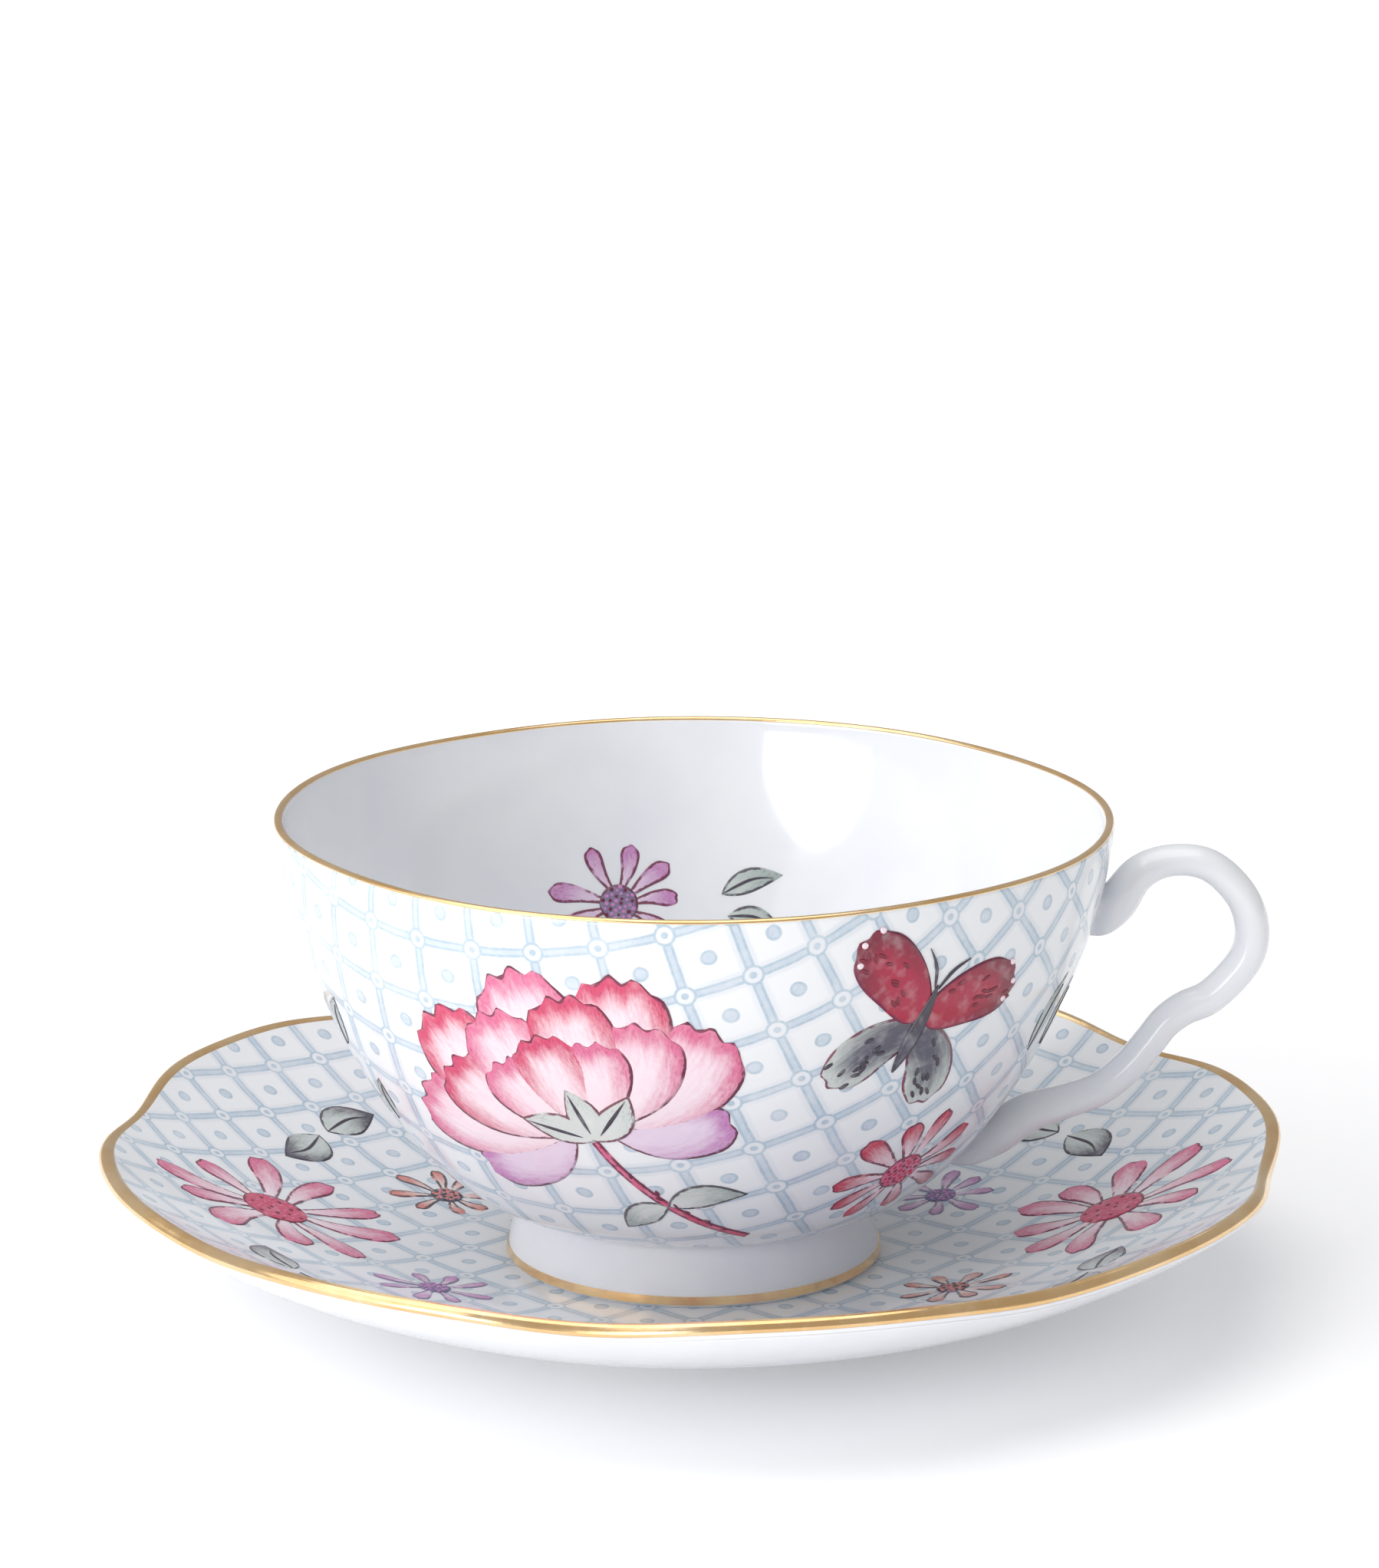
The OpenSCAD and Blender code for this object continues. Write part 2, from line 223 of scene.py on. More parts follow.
class Val:
    """A socket or number in a node tree that takes part in sums."""

    def __init__(self, tree, socket):
        self.tree, self.socket = tree, socket

    def op(self, kind, *others):
        node = self.tree.nodes.new("ShaderNodeMath")
        node.operation = kind
        for slot_index, item in enumerate((self, *others)):
            if isinstance(item, Val):
                self.tree.links.new(item.socket, node.inputs[slot_index])
            else:
                node.inputs[slot_index].default_value = item
        return Val(self.tree, node.outputs[0])

    def __add__(self, o): return self.op("ADD", o)
    def __sub__(self, o): return self.op("SUBTRACT", o)
    def __mul__(self, o): return self.op("MULTIPLY", o)
    def __truediv__(self, o): return self.op("DIVIDE", o)
    def abs(self): return self.op("ABSOLUTE")
    def max(self, o): return self.op("MAXIMUM", o)
    def min(self, o): return self.op("MINIMUM", o)
    def sin(self): return self.op("SINE")
    def cos(self): return self.op("COSINE")
    def wrap(self, low, high): return self.op("WRAP", high, low)

    def ramp(self, low, high, to_low=0.0, to_high=1.0):
        node = self.tree.nodes.new("ShaderNodeMapRange")
        node.interpolation_type = "SMOOTHSTEP"
        self.tree.links.new(self.socket, node.inputs["Value"])
        for key, value in (("From Min", low), ("From Max", high), ("To Min", to_low), ("To Max", to_high)):
            node.inputs[key].default_value = value
        return Val(self.tree, node.outputs["Result"])


def line(distance, half_width, soft=0.06):
    """1 on a line where distance is 0, fading to 0 beyond half_width."""
    return distance.abs().ramp(half_width - soft, half_width + soft, 1.0, 0.0)


def start_material(name):
    material = bpy.data.materials.new(name)
    material.use_nodes = True
    return material, material.node_tree, material.node_tree.nodes["Principled BSDF"]


def mix(tree, factor, a, b):
    node = tree.nodes.new("ShaderNodeMix")
    node.data_type = "RGBA"
    if isinstance(factor, Val):
        tree.links.new(factor.socket, node.inputs[0])
    else:
        node.inputs[0].default_value = factor
    for index, colour in ((6, a), (7, b)):
        if isinstance(colour, tuple):
            node.inputs[index].default_value = colour
        else:
            tree.links.new(colour, node.inputs[index])
    return node.outputs[2]


def noise(tree, vector, scale, detail=3.0, roughness=0.55):
    node = tree.nodes.new("ShaderNodeTexNoise")
    node.inputs["Scale"].default_value = scale
    node.inputs["Detail"].default_value = detail
    node.inputs["Roughness"].default_value = roughness
    if vector is not None:
        tree.links.new(vector, node.inputs["Vector"])
    return Val(tree, node.outputs["Fac"])


def object_coords(tree):
    return tree.nodes.new("ShaderNodeTexCoord").outputs["Object"]


def uv_pair(tree, name):
    uv = tree.nodes.new("ShaderNodeUVMap")
    uv.uv_map = name
    split = tree.nodes.new("ShaderNodeSeparateXYZ")
    tree.links.new(uv.outputs[0], split.inputs[0])
    return Val(tree, split.outputs["X"]), Val(tree, split.outputs["Y"])


def bump(tree, shader, height, distance, strength=1.0):
    node = tree.nodes.new("ShaderNodeBump")
    node.inputs["Distance"].default_value = distance
    node.inputs["Strength"].default_value = strength
    tree.links.new(height.socket, node.inputs["Height"])
    tree.links.new(node.outputs[0], shader.inputs["Normal"])


def glaze(shader, subsurface=0.12):
    shader.inputs["Roughness"].default_value = 0.1
    shader.inputs["IOR"].default_value = 1.52
    shader.inputs["Subsurface Weight"].default_value = subsurface
    shader.inputs["Subsurface Scale"].default_value = 0.0015
    shader.inputs["Subsurface Radius"].default_value = (1.0, 0.9, 0.8)


WHITE = srgb(243, 244, 247)


def white_china():
    """Plain glazed china: near white, with a faint cloudiness and the orange-peel ripple of glaze."""
    material, tree, shader = start_material("white_china")
    coords = object_coords(tree)
    cloud = noise(tree, coords, 60, 3).ramp(0.3, 0.75)
    tree.links.new(mix(tree, cloud, WHITE, srgb(236, 238, 243)), shader.inputs["Base Color"])
    glaze(shader)
    rough = noise(tree, coords, 220, 2).ramp(0.3, 0.8, 0.07, 0.13)
    tree.links.new(rough.socket, shader.inputs["Roughness"])
    bump(tree, shader, noise(tree, coords, 300, 2), 0.00002, 0.25)
    return material


TRELLIS = 8.0
PRINT_LINE = 0.16


def trellis(x, y):
    """Plain diamond trellis with a ring in each diamond and a disc where the bars cross.
    x and y are in millimetres. Gives masks for the lines, the tinted ground and the pale figures."""
    half = TRELLIS / 2
    p = ((x + y) * math.sqrt(0.5)).wrap(-half, half).abs()
    q = ((x - y) * math.sqrt(0.5)).wrap(-half, half).abs()
    to_bar = (p.max(q) - half) * -1
    middle = (p * p + q * q).op("SQRT")
    p, q = p - half, q - half
    crossing = (p * p + q * q).op("SQRT")
    clear = crossing.ramp(1.1, 1.2)
    lines = line(to_bar - 0.45, PRINT_LINE) * clear
    lines = lines.max(line(crossing - 1.15, PRINT_LINE)).max(line(middle - 0.8, PRINT_LINE))
    lines = lines.max(crossing.ramp(0.35, 0.5, 1.0, 0.0))
    tint = (to_bar.ramp(0.35, 0.5, 1.0, 0.0) * clear).max(middle.ramp(0.6, 0.75, 1.0, 0.0))
    return lines, tint, to_bar.ramp(0.9, 1.4) * middle.ramp(0.9, 1.1)


def printed_china(name, uv_name, keep=None):
    """White china under a pale blue printed trellis. keep(tree, coords) masks where the print lies."""
    material, tree, shader = start_material(name)
    coords = object_coords(tree)
    x, y = uv_pair(tree, uv_name)
    warp = noise(tree, coords, 260, 2)
    x, y = x + (warp - 0.5) * 0.35, y + (noise(tree, coords, 330, 2) - 0.5) * 0.35
    lines, tint, pale = trellis(x, y)
    worn = noise(tree, coords, 190, 4).ramp(0.28, 0.62, 0.55, 1.0)
    strength = worn * noise(tree, coords, 1500, 2).ramp(0.25, 0.7, 0.72, 1.0)
    wash = noise(tree, coords, 70, 3)
    ground = mix(tree, wash.ramp(0.35, 0.7), srgb(230, 234, 239), srgb(236, 239, 243))
    ground = mix(tree, tint * strength * 0.8, ground, srgb(190, 206, 221))
    ground = mix(tree, pale * 0.8, ground, srgb(243, 245, 247))
    printed = mix(tree, lines * strength * 0.9, ground, srgb(172, 194, 210))
    if keep is not None:
        printed = mix(tree, keep(tree, coords), WHITE, printed)
    tree.links.new(printed, shader.inputs["Base Color"])
    glaze(shader, 0.08)
    rough = noise(tree, coords, 400, 2).ramp(0.3, 0.8, 0.08, 0.15)
    tree.links.new(rough.socket, shader.inputs["Roughness"])
    bump(tree, shader, lines + noise(tree, coords, 300, 2) * 0.6, 0.00002, 0.22)
    return material


def gilding():
    """Fired gold: burnished, with a slow waver of tone, a faint fine ripple and worn paler spots."""
    material, tree, shader = start_material("gilding")
    coords = object_coords(tree)
    tone = noise(tree, coords, 90, 4).ramp(0.3, 0.72)
    spots = noise(tree, coords, 900, 3).ramp(0.58, 0.72)
    colour = mix(tree, tone, srgb(234, 192, 134), srgb(246, 214, 168))
    colour = mix(tree, spots * 0.2, colour, srgb(252, 232, 202))
    tree.links.new(colour, shader.inputs["Base Color"])
    shader.inputs["Metallic"].default_value = 0.82
    rough = noise(tree, coords, 500, 3).ramp(0.3, 0.75, 0.14, 0.24)
    tree.links.new(rough.socket, shader.inputs["Roughness"])
    bump(tree, shader, noise(tree, coords, 260, 3), 0.00003, 0.15)
    return material


def painted():
    """Enamel: a root colour that deepens in streaks to the tip, with a broken dark outline.
    Paint holds how far along the gradient a point is and how far it lies from the edge, in
    millimetres; Grain holds the place across and along the stroke, in millimetres."""
    material, tree, shader = start_material("painted_enamel")
    along, edge = uv_pair(tree, "Paint")
    across, down = uv_pair(tree, "Grain")

    def grain(sx, sy, scale, detail=3.0):
        join = tree.nodes.new("ShaderNodeCombineXYZ")
        tree.links.new((across * sx).socket, join.inputs[0])
        tree.links.new((down * sy).socket, join.inputs[1])
        return noise(tree, join.outputs[0], scale, detail)

    def colour(name):
        node = tree.nodes.new("ShaderNodeAttribute")
        node.attribute_name = name
        return node.outputs["Color"]

    streak = grain(1.0, 0.16, 1.7, 4.0)
    fine = grain(1.0, 0.3, 4.5, 2.0)
    near = edge.ramp(0.0, 4.5, 1.0, 0.0)
    tone = along * 0.72 + near * 0.42
    deepen = (tone + (streak - 0.5) * 0.5 + (fine - 0.5) * 0.2).ramp(0.4, 1.06)
    base = mix(tree, deepen, colour("root"), colour("tip"))
    base = mix(tree, fine.ramp(0.5, 0.66) * edge.ramp(0.6, 3.4, 1.0, 0.0) * along.ramp(0.35, 0.8) * 0.3,
               base, colour("line"))
    base = mix(tree, grain(0.5, 0.5, 0.9, 2.0).ramp(0.45, 0.8) * 0.2, base, srgb(250, 246, 248))
    broken = grain(0.35, 0.35, 0.9, 3.0).ramp(0.36, 0.5)
    width = grain(1.0, 1.0, 1.1, 2.0) * 0.56 + 0.09
    ink = (edge - width).ramp(-0.08, 0.06, 1.0, 0.0) * broken
    base = mix(tree, ink * 0.92, base, colour("line"))
    tree.links.new(base, shader.inputs["Base Color"])
    glaze(shader, 0.05)
    rough = fine.ramp(0.3, 0.8, 0.1, 0.2)
    tree.links.new(rough.socket, shader.inputs["Roughness"])
    bump(tree, shader, streak, 0.00003, 0.3)
    return material


WHITE_CHINA = white_china()
GOLD = gilding()
ENAMEL = painted()


PRINT_FADE = (0.25, 0.55)  # heights above the foot between which the print comes in


def above_foot(tree, coords):
    """The print ends in a ragged edge just above the foot."""
    split = tree.nodes.new("ShaderNodeSeparateXYZ")
    tree.links.new(coords, split.inputs[0])
    ragged = (noise(tree, coords, 500, 3) - 0.5) * 0.0012
    height = Val(tree, split.outputs["Z"])
    low, high = ((FOOT_H + WELL_H + fade) * MM for fade in PRINT_FADE)
    return (height + ragged).ramp(low, high)


CUP_PRINT = printed_china("printed_cup", "Print", above_foot)
SAUCER_PRINT = printed_china("printed_saucer", "Print")

# ---- The bowl ----
bottom = np.stack([np.linspace(0, wall_foot[0], 8)[:-1], np.full(7, FOOT_H)], 1)
lip = lip_arc(0)
bowl_outline = np.concatenate([bottom, outer_wall, lip, inner_wall[::-1], inner_floor[::-1]])
PRINTED_LIP = 5
PRINT_SPREAD = 0.979  # how fast the print's own radius grows with the way up the wall
OUT_FROM, OUT_TO = len(bottom), len(bottom) + len(outer_wall) + PRINTED_LIP - 1
verts, faces, corners = turned(bowl_outline, CUP_AROUND, cup_point, False)
print_rho = np.interp(np.arange(len(bowl_outline)),
                      np.arange(OUT_FROM, OUT_TO + 1),
                      2 * wall_foot[0] + PRINT_SPREAD * arc_length(bowl_outline[OUT_FROM:OUT_TO + 1]))
PRINT_TURN = math.radians(17.5)


def cup_print(bearing, row):
    rho = print_rho[row]
    return rho * math.cos(bearing / 2 + PRINT_TURN), rho * math.sin(bearing / 2 + PRINT_TURN)


outside = [OUT_FROM <= min(j for _, j in f) and max(j for _, j in f) <= OUT_TO for f in corners]
bowl = new_piece("bowl", verts, faces, "cup", [WHITE_CHINA, CUP_PRINT],
                 {"Print": corner_uvs(corners, CUP_AROUND, cup_print)}, np.array(outside, int))
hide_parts("cup_bowl")


def coat_ring(points, normals, thickness):
    """A closed skin over an outline, thinning to nothing at its two ends."""
    swell = np.sin(np.linspace(0, math.pi, len(points))) ** 0.35 * thickness
    return np.concatenate([points + normals * swell[:, None], (points - normals * 0.05)[::-1]])


def outline_normals(p):
    d = np.gradient(p, axis=0)
    d /= np.linalg.norm(d, axis=1)[:, None]
    return np.stack([d[:, 1], -d[:, 0]], 1)


LIP_GILT_FROM = 3
lip_span = lip[LIP_GILT_FROM:len(lip) - LIP_GILT_FROM]
verts, faces, _ = turned(coat_ring(lip_span, outline_normals(lip_span), GILT_T),
                         CUP_AROUND, cup_point, True)
lip_gold = new_piece("lip_gilding", verts, faces, "cup", [GOLD])
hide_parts("cup_rim_gilding")

# ---- The saucer ----
edge = edge_point(np.linspace(TOP_ANGLE, UNDER_ANGLE, 25), np.zeros(25))
under_middle = np.array([[RING_R - RING_W - 1, RING_H], [WELL_R - 1, WELL_H - SAUCER_T]])
under_floor = np.stack([np.linspace(WELL_R - 1, 0, 8)[1:], np.full(7, WELL_H - SAUCER_T)], 1)
saucer_outline = np.concatenate([dish_top, edge, under[::-1], under_middle, under_floor])[::-1]
rows = len(saucer_outline)
TOP_FROM = rows - len(dish_top)
verts, faces, corners = turned(saucer_outline, SAUCER_AROUND, saucer_point, False)
saucer_rho = np.interp(saucer_outline[:, 0], dish_top[:, 0], (dish_top[:, 0] + dish_s) / 2)


def saucer_print(bearing, row):
    rho = saucer_rho[row]
    return rho * math.cos(bearing), rho * math.sin(bearing)


upper = [min(j for _, j in f) >= TOP_FROM - 1 for f in corners]
plate = new_piece("saucer", verts, faces, "saucer", [WHITE_CHINA, SAUCER_PRINT],
                  {"Print": corner_uvs(corners, SAUCER_AROUND, saucer_print)}, np.array(upper, int))
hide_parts("saucer_plate")

gilt_angles = np.linspace(GILT_FROM_ANGLE, TOP_ANGLE, 21)
gilt_line = np.concatenate([
    edge_point(gilt_angles, np.zeros(21)),
    edge_point(TOP_ANGLE) + np.linspace(0, EDGE_GILT_W, 5)[1:, None] * rise])
verts, faces, _ = turned(coat_ring(gilt_line, outline_normals(gilt_line), GILT_T),
                         SAUCER_AROUND, saucer_point, True)
edge_gold = new_piece("saucer_gilding", verts, faces, "saucer", [GOLD])
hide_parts("saucer_rim_gilding")

# ---- The handle ----
# Distance out from the wall and height between the roots as shares, then extra thickness and width
HANDLE_LINE = [
    (0.01, 0.85, -0.6, -0.5), (0.075, 0.90, -0.1, 0.1), (0.12, 0.98, 0.2, 0.25),
    (0.205, 1.105, 0.06, 0.1), (0.38, 1.158, -0.03, 0), (0.61, 1.135, 0, 0),
    (0.84, 1.01, 0.03, 0), (0.97, 0.865, 0.06, 0), (0.995, 0.73, 0.06, 0),
    (0.90, 0.585, 0.04, 0), (0.775, 0.53, 0.02, 0), (0.705, 0.47, 0, 0),
    (0.68, 0.39, 0, 0), (0.645, 0.28, 0, 0), (0.57, 0.185, 0, 0.05),
    (0.425, 0.13, 0.02, 0.1), (0.28, 0.09, 0.14, 0.25), (0.22, 0.05, 0.2, 0.3),
    (0.175, -0.015, 0.2, 0.35), (0.11, -0.085, -0.1, 0.1), (0.005, -0.11, -0.6, -0.5)]


def smooth_line(knots, steps):
    """Catmull-Rom line through the knots."""
    k = np.asarray(knots, float)
    k = np.concatenate([k[:1], k, k[-1:]])
    out = []
    for i in range(1, len(k) - 2):
        for t in np.linspace(0, 1, steps, endpoint=False):
            a, b, c, d = k[i - 1:i + 3]
            out.append(0.5 * (2 * b + (c - a) * t + (2 * a - 5 * b + 4 * c - d) * t * t
                              + (3 * b - a - 3 * c + d) * t ** 3))
    return np.array(out + [k[-2]])


def wall_radius(z):
    return np.interp(z, outer_wall[:, 1], outer_wall[:, 0])


knots = []
for far, up, more_t, more_w in HANDLE_LINE:
    z = HANDLE_LOW_H + up * (HANDLE_TOP_H - HANDLE_LOW_H)
    knots.append((wall_radius(z) + far * HANDLE_REACH, z, more_t, more_w))
strap = smooth_line(knots, 6)
SIDES = 36
heading = np.gradient(strap[:, :2], axis=0)
heading /= np.linalg.norm(heading, axis=1)[:, None]
q = np.arange(SIDES) * 2 * math.pi / SIDES
half_t = (STRAP_T + strap[:, 2] * TERMINAL_FLARE) / 2
half_w = (STRAP_W + strap[:, 3] * TERMINAL_FLARE) / 2
verts = np.stack([
    strap[:, :1] - heading[:, 1:] * half_t[:, None] * np.cos(q),
    half_w[:, None] * np.sin(q),
    strap[:, 1:2] + heading[:, :1] * half_t[:, None] * np.cos(q) + WELL_H], -1).reshape(-1, 3)
faces = [(i * SIDES + j, i * SIDES + (j + 1) % SIDES, (i + 1) * SIDES + (j + 1) % SIDES, (i + 1) * SIDES + j)
         for i in range(len(strap) - 1) for j in range(SIDES)]
faces += [tuple(range(SIDES))[::-1], tuple((len(strap) - 1) * SIDES + j for j in range(SIDES))]
verts = list(verts)
# two patches just under the wall's face, which the strap's roots run into
PATCH_IN = (0.25, 1.15)
PATCH_HEIGHTS = ((4.0, 24.0), (36.0, 54.0))
PATCH_HALF_TURN = 11
for low, high in PATCH_HEIGHTS:
    base = len(verts)
    patch_z = np.linspace(max(low, FOOT_H + 0.6), high, 24)
    patch_b = np.radians(np.linspace(-PATCH_HALF_TURN, PATCH_HALF_TURN, 17))
    for depth in PATCH_IN:
        for z in patch_z:
            for b in patch_b:
                verts.append(cup_point(np.array([wall_radius(z) - depth, z]), b))
    n, m = len(patch_z), len(patch_b)
    lower = n * m
    for i in range(n - 1):
        for j in range(m - 1):
            a = base + i * m + j
            faces.append((a, a + 1, a + m + 1, a + m))
            faces.append((a + lower, a + lower + m, a + lower + m + 1, a + lower + 1))
    for i in range(n - 1):
        for j in (0, m - 1):
            a = base + i * m + j
            side = (a, a + m, a + m + lower, a + lower)
            faces.append(side if j == 0 else side[::-1])
    for j in range(m - 1):
        for i in (0, n - 1):
            a = base + i * m + j
            side = (a, a + lower, a + lower + 1, a + 1)
            faces.append(side if i == 0 else side[::-1])


def remesh(verts, faces, voxel):
    """Joins overlapping closed shapes into one skin of even quads."""
    mesh = bpy.data.meshes.new("remesh_source")
    mesh.from_pydata([tuple(v) for v in np.asarray(verts) * MM], [], faces)
    source = bpy.data.objects.new("remesh_source", mesh)
    bpy.context.scene.collection.objects.link(source)
    modifier = source.modifiers.new("remesh", "REMESH")
    modifier.mode, modifier.voxel_size = "VOXEL", voxel * MM
    result = source.evaluated_get(bpy.context.evaluated_depsgraph_get()).to_mesh()
    co = np.zeros(len(result.vertices) * 3)
    result.vertices.foreach_get("co", co)
    out = co.reshape(-1, 3) / MM, [tuple(p.vertices) for p in result.polygons]
    bpy.data.objects.remove(source)
    bpy.data.meshes.remove(mesh)
    return out


def relax(verts, faces, weight, rounds):
    """Moves each vertex part of the way to the middle of its neighbours, by its weight."""
    pairs = np.array([(f[k], f[(k + 1) % len(f)]) for f in faces for k in range(len(f))])
    pairs = np.unique(np.sort(pairs, 1), axis=0)
    count = np.bincount(pairs.ravel(), minlength=len(verts))[:, None]
    for _ in range(rounds):
        total = np.zeros_like(verts)
        np.add.at(total, pairs[:, 0], verts[pairs[:, 1]])
        np.add.at(total, pairs[:, 1], verts[pairs[:, 0]])
        verts = verts + (total / count - verts) * weight[:, None]
    return verts


HANDLE_VOXEL, FILLET_REACH = 0.32, 1.3
verts, faces = remesh(verts, faces, HANDLE_VOXEL)
out_from_wall = np.hypot(verts[:, 0], verts[:, 1]) - wall_radius(verts[:, 2] - WELL_H)
verts = relax(verts, faces, np.full(len(verts), 0.5), 5)
verts = relax(verts, faces, 0.55 * np.exp(-(out_from_wall / FILLET_REACH) ** 2), 40)
handle = new_piece("handle_strap", verts, faces, "cup", [WHITE_CHINA])
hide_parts("handle", "upper_slip_joint", "lower_slip_joint")


# ---- Painted motifs ----
class OnWall:
    """Places a motif on the bowl's outer or inner face, by bearing and distance up the wall."""

    def __init__(self, bearing, along, inside=False):
        self.b, self.s, self.inside = math.radians(bearing), along, inside
        self.profile = inner_wall if inside else outer_wall
        self.way = -1 if inside else 1

    def point(self, u, v):
        s = np.clip(self.s + v, 0, outer_s[-1] - 0.15)
        p = np.stack([np.interp(s, outer_s, self.profile[:, k]) for k in (0, 1)], -1)
        return cup_point(p, self.b + self.way * u / p[..., 0])


class OnDish:
    """Places a motif on the saucer's upper face."""

    def __init__(self, x, y, turn=0.0):
        self.x, self.y, self.t = x, y, math.radians(turn)

    def point(self, u, v):
        x = self.x + u * math.cos(self.t) - v * math.sin(self.t)
        y = self.y + u * math.sin(self.t) + v * math.cos(self.t)
        r = np.minimum(np.hypot(x, y), dish_rim[0] - 0.4)
        p = np.stack([r, np.interp(r, dish_top[:, 0], dish_top[:, 1])], -1)
        bearing = np.arctan2(y, x)
        return saucer_point(p, bearing)


SHAPES = {
    "petal": lambda t: t ** 0.7 * (1 - t ** 5) ** 0.5 * 1.16,
    "ray": lambda t: (0.25 + 0.75 * t) * (1 - t ** 6) ** 0.5 * 1.2,
    "round": lambda t: (1 - (2 * t - 1) ** 2) ** 0.5,
    "leaf": lambda t: np.sin(math.pi * t ** 0.85) ** 0.9,
    "wing": lambda t: t ** 0.3 * (1 - t ** 5) ** 0.5 * 1.05,
    "stem": lambda t: 0.7 + 0.3 * t,
}


# Thickness of a stroke at its edge, for each level over another, and towards its middle; and its depth
EDGE_LIFT, LEVEL_LIFT, MIDDLE_LIFT, STROKE_SINK = 0.03, 0.025, 0.05, 0.04


class Painting:
    """Collects strokes of raised enamel into one piece."""

    def __init__(self, name, body):
        self.name, self.body = name, body
        self.verts, self.faces, self.paint, self.grain = [], [], [], []
        self.root, self.tip, self.line = [], [], []

    def stroke(self, place, path, width, shape, root, tip, line_colour,
               level=0, ruffle=0.0, lobes=3, rows=18, columns=13):
        """One raised stroke along a path of (u, v) points in millimetres, width across it."""
        path = smooth_line(path, max(1, rows // max(1, len(path) - 1)))
        seg = arc_length(path)
        t = (1 - np.cos(np.linspace(0, math.pi, rows))) / 2
        mid = np.stack([np.interp(t * seg[-1], seg, path[:, k]) for k in (0, 1)], 1)
        d = np.gradient(mid, axis=0)
        d /= np.linalg.norm(d, axis=1)[:, None]
        s = np.linspace(-1, 1, columns)
        half = width / 2 * np.maximum(SHAPES[shape](np.clip(t, 1e-4, 1 - 1e-4)), 0.03)
        phase = rng.uniform(0, 6.28)
        side = half[:, None] * s / half.max()
        wave = ruffle * np.sin(lobes * math.pi * side + phase) * seg[-1]
        push = (t ** 3)[:, None] * (wave - 0.05 * (abs(side) ** 2.5) * seg[-1] * (ruffle > 0))
        u = mid[:, :1] - d[:, 1:] * half[:, None] * s + d[:, :1] * push
        v = mid[:, 1:] + d[:, :1] * half[:, None] * s + d[:, 1:] * push
        edge_mm = np.minimum((1 - abs(s)) * half[:, None], ((1 - t) * seg[-1])[:, None] * np.ones(columns))
        lift = EDGE_LIFT + LEVEL_LIFT * level + MIDDLE_LIFT * np.clip(edge_mm / 1.2, 0, 1) ** 0.5
        e = 0.05
        p = place.point(u, v)
        normal = np.cross(place.point(u + e, v) - p, place.point(u, v + e) - p)
        normal /= np.maximum(np.linalg.norm(normal, axis=-1, keepdims=True), 1e-9)
        base = len(self.verts)
        count = rows * columns
        self.verts += list((p + normal * lift[..., None]).reshape(-1, 3))
        self.verts += list((p - normal * STROKE_SINK).reshape(-1, 3))
        for i in range(rows - 1):
            for j in range(columns - 1):
                a = base + i * columns + j
                self.faces.append((a, a + columns, a + columns + 1, a + 1))
                self.faces.append((a + count, a + 1 + count, a + columns + 1 + count, a + columns + count))
        rim = ([(i, 0) for i in range(rows)] + [(rows - 1, j) for j in range(1, columns)]
               + [(i, columns - 1) for i in range(rows - 2, -1, -1)]
               + [(0, j) for j in range(columns - 2, 0, -1)])
        ids = [base + i * columns + j for i, j in rim]
        for a, b in zip(ids, ids[1:] + ids[:1]):
            self.faces.append((a, a + count, b + count, b))
        g = t[:, None] * np.ones(columns)
        seed = rng.uniform(0, 500, 2)
        for _ in range(2):
            self.paint += list(np.stack([g, edge_mm], -1).reshape(-1, 2))
            self.grain += list(np.stack([half[:, None] * s + seed[0],
                                         (t * seg[-1])[:, None] + seed[1] + 0 * s], -1).reshape(-1, 2))
            self.root += [root] * count
            self.tip += [tip] * count
            self.line += [line_colour] * count
        return u, v

    def dot(self, place, u, v, size, colour, level=3):
        self.stroke(place, [(u - size / 2, v), (u + size / 2, v)], size, "round",
                    colour, colour, colour, level=level, rows=6, columns=5)

    def dashes(self, place, u0, v0, u1, v1, count, spread, colour, size=(0.9, 0.35), turn=0.4, level=3):
        """Short ink marks scattered along a line."""
        for k in range(count):
            f = (k + rng.uniform(0.2, 0.8)) / count
            u = u0 + (u1 - u0) * f + rng.normal(0, spread)
            v = v0 + (v1 - v0) * f + rng.normal(0, spread)
            a = math.atan2(v1 - v0, u1 - u0) + rng.uniform(-turn, turn)
            du, dv = size[0] / 2 * math.cos(a), size[0] / 2 * math.sin(a)
            self.stroke(place, [(u - du, v - dv), (u + du, v + dv)], size[1], "round",
                        colour, colour, colour, level=level, rows=5, columns=4)

    def make(self):
        corners = [i for f in self.faces for i in f]
        paint, grain = np.array(self.paint), np.array(self.grain)
        return new_piece(self.name, self.verts, self.faces, self.body, [ENAMEL],
                         {"Paint": paint[corners], "Grain": grain[corners]},
                         colours={"root": self.root, "tip": self.tip, "line": self.line})


PINK, ROSE, BLUSH = srgb(214, 74, 112), srgb(226, 116, 154), srgb(252, 232, 240)
LILAC, PALE_LILAC = srgb(205, 140, 195), srgb(236, 216, 236)
MAROON, SLATE, SAGE, PALE_SAGE = srgb(118, 48, 72), srgb(72, 66, 78), srgb(168, 180, 176), srgb(208, 216, 212)
CRIMSON, DUSK, SKY, CREAM = srgb(176, 30, 66), srgb(92, 90, 104), srgb(100, 120, 178), srgb(246, 232, 226)
SALMON, VIOLET, WINE = srgb(226, 140, 130), srgb(140, 126, 158), srgb(128, 26, 52)
RED, FROST = srgb(206, 54, 86), srgb(222, 227, 224)


